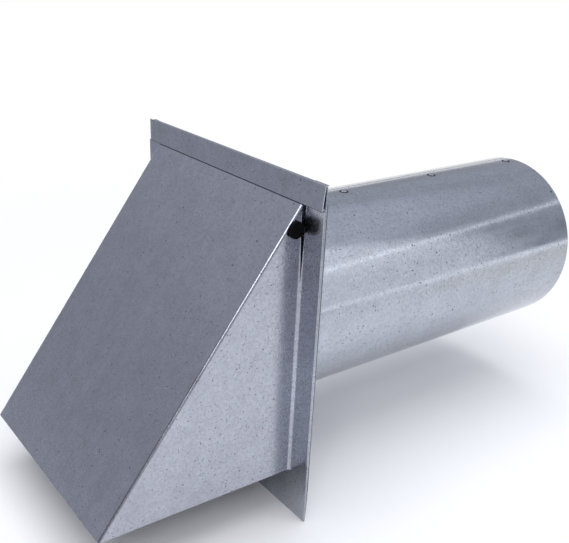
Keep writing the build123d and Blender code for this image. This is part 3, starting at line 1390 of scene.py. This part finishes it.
@dataclass
class Damper:
    """Flap that hangs in front of the pipe's mouth, its headed rod, and a push-on cap at the rod's end."""

    sheet: float = 0.0006
    rod_radius: float = 0.002
    rod_front: float = 0.0087
    rod_height: float = 0.0778
    rod_end: float = 0.0784
    rod_chamfer: float = 0.0004
    head_radius: float = 0.0028
    head_thickness: float = 0.0006
    head_edge: float = 0.00015
    flap_half: float = 0.0675
    flap_low: float = 0.0675
    flap_corner: float = 0.02
    curl_end: float = radians(-60)
    cap_inner: float = 0.0765
    cap_radius: float = 0.0048
    cap_thickness: float = 0.0024
    cap_wall: float = 0.0005
    cap_edge: float = 0.0004
    cap_foot: float = 0.0002
    cap_rim: float = 0.6
    cap_dimple: float = 0.5
    dimple_depth: float = 0.0001
    corner_steps: int = 12
    flap_steps: int = 16
    curl_steps: int = 20
    flap_columns: int = 24
    rod_sides: int = 32
    cap_steps: int = 6

    def half_width(self, z: float) -> float:
        """Half width of the flap at a height, less towards its rounded lower corners.

        Args:
            z: Height on the flap.

        Returns:
            The half width.
        """
        above = z + self.flap_low
        if above >= self.flap_corner:
            return self.flap_half
        inside = self.flap_corner - above
        return self.flap_half - self.flap_corner + sqrt(max(0.0, self.flap_corner**2 - inside**2))

    def build_flap(self, finish: bpy.types.Material) -> bpy.types.Object:
        """Builds the flap, a sheet curled round the rod.

        Args:
            finish: Material of the sheet.

        Returns:
            The flap.
        """
        curl = self.rod_radius + self.sheet
        front = -self.rod_front - curl
        turns = spread(0, pi / 2, self.corner_steps)
        levels = [-self.flap_low + self.flap_corner * (1 - cos(angle)) for angle in turns]
        levels += spread(levels[-1], self.rod_height, self.flap_steps)[1:-1]
        path = [(front, z) for z in levels + [self.rod_height - EDGE_STEP]]
        for angle in spread(pi, self.curl_end, self.curl_steps):
            path.append((-self.rod_front + curl * cos(angle), self.rod_height + curl * sin(angle)))
        columns = spread(-1.0, 1.0, self.flap_columns)
        rows = []
        for y, z in path:
            half = self.half_width(z)
            rows.append([Vector((half * column, y, z)) for column in columns])
        face = SheetFace("damper_flap_sheet", self.sheet)
        face.add(rows, Vector((0, -1, 0)))
        piece = face.shell()
        dress(piece, finish)
        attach(piece, Body.DAMPER.value)
        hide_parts("damper_flap")
        return piece

    def build_rod(self, finish: bpy.types.Material) -> bpy.types.Object:
        """Builds the rod, with a flat head on its left end and a chamfered right end.

        Args:
            finish: Material of the rod.

        Returns:
            The rod.
        """
        end, cut = self.rod_end, self.rod_chamfer
        under_head = -self.cap_inner
        head_top = under_head - self.head_thickness
        profile = [
            (0.0, head_top),
            (self.head_radius - self.head_edge, head_top),
            (self.head_radius, head_top + self.head_edge),
            (self.head_radius, under_head),
            (self.rod_radius, under_head),
            (self.rod_radius, end - cut),
            (self.rod_radius - cut, end),
            (0.0, end),
        ]
        foot = Vector((0, -self.rod_front, self.rod_height))
        piece = turn_profile("damper_rod", profile, foot, Vector((1, 0, 0)), self.rod_sides)
        dress(piece, finish)
        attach(piece, Body.DAMPER.value)
        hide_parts("damper_axle")
        return piece

    def build_cap(self, finish: bpy.types.Material) -> bpy.types.Object:
        """Builds the push-on cap, a shallow cup with a rounded rim.

        Args:
            finish: Material of the cap.

        Returns:
            The cap.
        """
        top, edge = self.cap_thickness, self.cap_edge
        profile = [
            (0.0, top - self.cap_wall),
            (self.rod_radius, top - self.cap_wall),
            (self.rod_radius, 0.0),
            (self.cap_radius - self.cap_foot, 0.0),
            (self.cap_radius, self.cap_foot),
        ]
        for angle in spread(0.0, pi / 2, self.cap_steps):
            profile.append((self.cap_radius - edge + edge * cos(angle), top - edge + edge * sin(angle)))
        profile += [
            (self.cap_radius * self.cap_rim, top),
            (self.cap_radius * self.cap_dimple, top - self.dimple_depth),
            (0.0, top - self.dimple_depth),
        ]
        foot = Vector((self.cap_inner, -self.rod_front, self.rod_height))
        piece = turn_profile("push_cap", profile, foot, Vector((1, 0, 0)))
        dress(piece, finish)
        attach(piece, Body.DAMPER.value)
        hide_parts("axle_cap")
        return piece


@dataclass
class SoftBox:
    """Soft lamp: a lit rectangle that looks at the object."""

    name: str
    place: Triple
    aim: Triple
    width: float
    height: float
    brightness: float
    roll: float = 0.0

    def build(self) -> bpy.types.Object:
        """Builds the lamp.

        Returns:
            The lamp's object.
        """
        lamp = bpy.data.lights.new(self.name, "AREA")
        lamp.shape = "RECTANGLE"
        lamp.size = self.width
        lamp.size_y = self.height
        lamp.energy = self.brightness * pi * self.width * self.height
        made = bpy.data.objects.new(self.name, lamp)
        made.location = self.place
        look = Vector(self.aim) - Vector(self.place)
        turn = look.to_track_quat("-Z", "Y") @ Quaternion((0, 0, 1), self.roll)
        made.rotation_euler = turn.to_euler()
        made.visible_camera = False
        bpy.context.scene.collection.objects.link(made)
        return made


@dataclass
class Studio:
    """Pale paper sweep, soft lamps, grey surroundings and the camera."""

    image_width: float = 569.0
    image_height: float = 543.0
    focal_pixels: float = 784.87
    centre_pixels: tuple[float, float] = (265.0, 330.0)
    eye: Triple = (0.383197, -0.256781, 0.214302)
    right: Triple = (0.5876, 0.8085, 0.0342)
    down: Triple = (0.3788, -0.2375, -0.8945)
    sensor: float = 36.0
    nearest: float = 0.01
    floor: float = -0.1106
    sweep_left: float = -1.0
    sweep_left_near: float = -0.55
    sweep_narrow_until: float = 0.7
    sweep_right: float = 1.7
    sweep_near: float = -0.9
    sweep_far: float = 1.3
    sweep_bend: float = 0.25
    sweep_top: float = 0.3
    floor_rows: int = 12
    bend_rows: int = 16
    paper_roughness: float = 0.9
    glow_distance: tuple[float, float] = (0.25, 0.75)
    glow_behind: tuple[float, float] = (-0.25, 0.05)
    # The paper's greys from near the camera to behind the object are painted shade on the near floor
    pale_behind: tuple[float, float] = (-0.5, -0.2)
    paper_greys: tuple[float, float] = (0.55, 0.9)
    room_tint: Triple = (0.94, 0.975, 1.09)
    dim_side: Triple = (0.30, -0.93, 0.20)
    dim_spread: tuple[float, float] = (0.72, 0.92)
    dim_share: float = 0.65
    sky: tuple[tuple[float, float], ...] = (
        (0.0, 0.42),
        (0.46, 0.44),
        (0.545, 0.46),
        (0.61, 0.40),
        (0.72, 0.54),
        (0.80, 0.53),
        (0.85, 0.72),
        (1.0, 0.74),
    )

    def build_camera(self) -> bpy.types.Object:
        """Builds the camera at the photograph's viewing angle.

        Returns:
            The camera.
        """
        lens = bpy.data.cameras.new("camera")
        lens.sensor_fit = "HORIZONTAL"
        lens.sensor_width = self.sensor
        lens.lens = self.sensor * self.focal_pixels / self.image_width
        lens.shift_x = (self.image_width / 2 - self.centre_pixels[0]) / self.image_width
        lens.shift_y = (self.centre_pixels[1] - self.image_height / 2) / self.image_width
        lens.clip_start = self.nearest
        across = Vector(self.right).normalized()
        back = across.cross(-Vector(self.down)).normalized()
        up = back.cross(across)
        turn = Matrix((across, up, back)).transposed()
        made = bpy.data.objects.new("camera", lens)
        made.matrix_world = Matrix.Translation(self.eye) @ turn.to_4x4()
        bpy.context.scene.collection.objects.link(made)
        bpy.context.scene.camera = made
        return made

    def away(self) -> Vector:
        """Level direction in which the camera looks."""
        return Vector((-self.right[1], self.right[0], 0)).normalized()

    def paper(self) -> bpy.types.Material:
        """Builds the sweep's white paper, which takes the object's shadow and shows as white farther off.

        The paper is clear from underneath. Its colour goes from grey near the camera to pale behind the
        object, as painted shade on the near floor.

        Returns:
            The new material.
        """
        made, sheet, shader = start_material("white_paper")
        shader.inputs["Roughness"].default_value = self.paper_roughness
        shader.inputs["Specular IOR Level"].default_value = 0.0
        glow = sheet.add("ShaderNodeEmission")
        glow.inputs["Strength"].default_value = 1.0
        path = sheet.add("ShaderNodeLightPath")
        seen = sheet.math("MAXIMUM", path.outputs["Is Camera Ray"], path.outputs["Is Glossy Ray"])
        seen = sheet.math("MAXIMUM", seen, path.outputs["Is Transmission Ray"])
        place = sheet.add("ShaderNodeTexCoord").outputs["Object"]
        distance = sheet.vector("LENGTH", place).outputs["Value"]
        far = sheet.between(distance, *self.glow_distance)
        behind = sheet.vector("DOT_PRODUCT", place, self.away()).outputs["Value"]
        # Painted shade: the paper's colour is darker towards the camera
        near_paper_shade = sheet.between(behind, *self.pale_behind, *self.paper_greys)
        sheet.link(near_paper_shade, shader.inputs["Base Color"])
        far = sheet.math("MULTIPLY", far, sheet.between(behind, *self.glow_behind))
        mix = sheet.add("ShaderNodeMixShader")
        sheet.link(sheet.math("MULTIPLY", seen, far), mix.inputs[0])
        sheet.link(shader.outputs[0], mix.inputs[1])
        sheet.link(glow.outputs[0], mix.inputs[2])
        clear = sheet.add("ShaderNodeMixShader")
        sheet.link(sheet.add("ShaderNodeNewGeometry").outputs["Backfacing"], clear.inputs[0])
        sheet.link(mix.outputs[0], clear.inputs[1])
        sheet.link(sheet.add("ShaderNodeBsdfTransparent").outputs[0], clear.inputs[2])
        sheet.link(clear.outputs[0], made.node_tree.nodes["Material Output"].inputs["Surface"])
        return made

    def left_edge(self, run: float) -> float:
        """Place of the paper's left edge, which stands farther out towards the backdrop.

        Args:
            run: Distance along the floor, away from the camera.

        Returns:
            The edge's place across the paper.
        """
        share = (run - self.sweep_narrow_until) / (self.sweep_far - self.sweep_narrow_until)
        share = min(1.0, max(0.0, share))
        return self.sweep_left_near + share * (self.sweep_left - self.sweep_left_near)

    def build_sweep(self) -> bpy.types.Object:
        """Builds the floor and backdrop as one sheet of paper that curves up behind the object.

        Returns:
            The sweep.
        """
        away = self.away()
        across = Vector((away.y, -away.x, 0))
        path = [(run, self.floor) for run in spread(self.sweep_near, self.sweep_far, self.floor_rows)]
        for angle in spread(radians(-90), 0.0, self.bend_rows)[1:]:
            path.append((self.sweep_far + self.sweep_bend * cos(angle),
                         self.floor + self.sweep_bend * (1 + sin(angle))))
        path.append((self.sweep_far + self.sweep_bend, self.sweep_top))
        bm = bmesh.new()
        rows = []
        for run, z in path:
            rows.append([bm.verts.new(away * run + across * side + Vector((0, 0, z)))
                         for side in (self.left_edge(run), self.sweep_right)])
        for near, far in zip(rows, rows[1:]):
            bm.faces.new((near[0], near[1], far[1], far[0]))
        made = mesh_piece("paper_sweep", bm)
        made.data.polygons.foreach_set("use_smooth", [True] * len(made.data.polygons))
        made.data.materials.append(self.paper())
        return made

    def build_world(self) -> None:
        """Builds grey surroundings that get lighter upwards and are dim on one side."""
        world = bpy.data.worlds.new("grey_room")
        world.use_nodes = True
        sheet = NodeSheet(world.node_tree)
        sky = world.node_tree.nodes["Background"]
        look = sheet.add("ShaderNodeTexCoord").outputs["Generated"]
        split = sheet.add("ShaderNodeSeparateXYZ")
        sheet.link(look, split.inputs[0])
        # Z runs from -1 to 1 and the ramp from 0 to 1
        height = sheet.math("MULTIPLY_ADD", split.outputs["Z"], 0.5)
        height.node.inputs[2].default_value = 0.5
        ramp = sheet.add("ShaderNodeValToRGB")
        sheet.link(height, ramp.inputs[0])
        stops = ramp.color_ramp.elements
        # New stops start in the middle and get their places below
        while len(stops) < len(self.sky):
            stops.new(0.5)
        for stop, (place, level) in zip(stops, self.sky):
            stop.position = place
            stop.color = (*(level * part for part in self.room_tint), 1.0)
        sheet.link(ramp.outputs["Color"], sky.inputs["Color"])
        facing = sheet.vector("DOT_PRODUCT", look, Vector(self.dim_side).normalized())
        dimmed = sheet.between(facing.outputs["Value"], *self.dim_spread, 1.0, 1.0 - self.dim_share)
        sheet.link(dimmed, sky.inputs["Strength"])
        bpy.context.scene.world = world

    def lamps(self) -> list[SoftBox]:
        """Lists the soft lamps.

        Returns:
            The lamps, not built yet.
        """
        return [
            SoftBox("overhead_box", place=(0.0, 0.05, 1.5), aim=(0.0, 0.05, 0.0),
                    width=1.6, height=1.6, brightness=1.9),
            SoftBox("right_panel", place=(1.15, 0.85, 0.70), aim=(0.0, 0.14, 0.05),
                    width=1.1, height=1.6, brightness=0.58),
            SoftBox("right_strip", place=(0.80, 1.11, 0.78), aim=(0.0, 0.14, 0.05),
                    width=1.3, height=0.06, brightness=0.72, roll=radians(-12)),
            SoftBox("low_strip", place=(0.94, 1.29, -0.065), aim=(0.0, 0.14, -0.065),
                    width=1.6, height=0.09, brightness=0.9),
            SoftBox("camera_side_box", place=(0.95, -0.76, 0.85), aim=(0.05, -0.05, 0.0),
                    width=0.65, height=0.65, brightness=3.3),
            SoftBox("edge_strip", place=(0.80, -0.93, 0.36), aim=(0.07, -0.07, 0.0),
                    width=0.08, height=0.85, brightness=2.0),
        ]

    def build(self) -> None:
        """Builds the whole studio."""
        self.build_camera()
        self.build_sweep()
        self.build_world()
        for lamp in self.lamps():
            lamp.build()
        bpy.context.scene.view_settings.view_transform = "Standard"


# The hood's dark line across the fold between the strip and the front is painted shade
HOOD_ZINC = ZincFinish(
    "hood_zinc", tint=(0.413, 0.427, 0.484), roughness=0.25, grain=GrainWay.DOWN_THE_FRONT,
    crystal_depth=0.15, cloud_depth=0.13, speck_share=0.42, mark_depth=0.12,
    shaded_fold=((0.0, 0.0, 1.0), Hood.fold_height),
)
# The plate's dark line along the rounded edge of each hem is painted shade
PLATE_ZINC = ZincFinish(
    "plate_zinc", tint=(0.43, 0.45, 0.50), roughness=0.25, grain=GrainWay.UP_THE_PLATE,
    crystal_depth=0.14, cloud_depth=0.13, speck_share=0.35, mark_depth=0.12,
    shaded_fold=((0.0, 1.0, 0.0), -BackPlate.hem_radius),
)
PIPE_ZINC = ZincFinish(
    "pipe_zinc", tint=(0.43, 0.456, 0.51), roughness=0.14, grain=GrainWay.ALONG_THE_PIPE,
    crystal_depth=0.19, cloud_depth=0.14, speck_share=0.65, mark_depth=0.15,
    pit_tint=(0.10, 0.107, 0.122), pit_size=0.23, bump=0.07, dull_bore=0.0632,
)
FLAP_ZINC = ZincFinish(
    "flap_zinc", tint=(0.41, 0.436, 0.49), roughness=0.34, grain=GrainWay.UP_THE_PLATE,
    crystal_depth=0.14, cloud_depth=0.12, speck_share=0.30, mark_depth=0.12,
)
# The dark ring on each rivet head is painted shade
RIVET_METAL = RivetFinish(
    "rivet_metal", tint=(0.62, 0.64, 0.68), painted_shade=(0.03, 0.032, 0.036), ring_start=SeamRivets.dish,
    roughness=0.30,
)
ROD_METAL = PlainMetalFinish("rod_metal", tint=(0.42, 0.43, 0.45), roughness=0.32, mark_scale=700.0)
CAP_RUBBER = RubberFinish(
    "cap_rubber", tint=(0.002, 0.002, 0.0022), bloom=(0.006, 0.006, 0.0065), roughness=0.6
)


def report(pieces: list[bpy.types.Object]) -> None:
    """Logs each piece with its number of faces."""
    for piece in pieces:
        LOG.info("%s: %d faces", piece.name, len(piece.data.polygons))


def main() -> None:
    """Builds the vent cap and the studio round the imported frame."""
    logging.basicConfig(level=logging.INFO, format="%(name)s: %(message)s")
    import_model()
    pipe = DuctPipe()
    damper = Damper()
    cap = CAP_RUBBER.material()
    makers: list[Callable[[], object]] = [
        lambda: Hood().build(HOOD_ZINC.material()),
        lambda: BackPlate().build(PLATE_ZINC.material()),
        lambda: pipe.build(PIPE_ZINC.material()),
        # The dark disc in the tie hole is painted shade, in the cap's black rubber
        lambda: pipe.build_hole_shade(cap),
        lambda: SeamRivets().build(RIVET_METAL.material()),
        lambda: damper.build_flap(FLAP_ZINC.material()),
        lambda: damper.build_rod(ROD_METAL.material()),
        lambda: damper.build_cap(cap),
    ]
    for make in makers:
        made = make()
        report(made if isinstance(made, list) else [made])
    Studio().build()


if __name__ == "__main__":
    main()
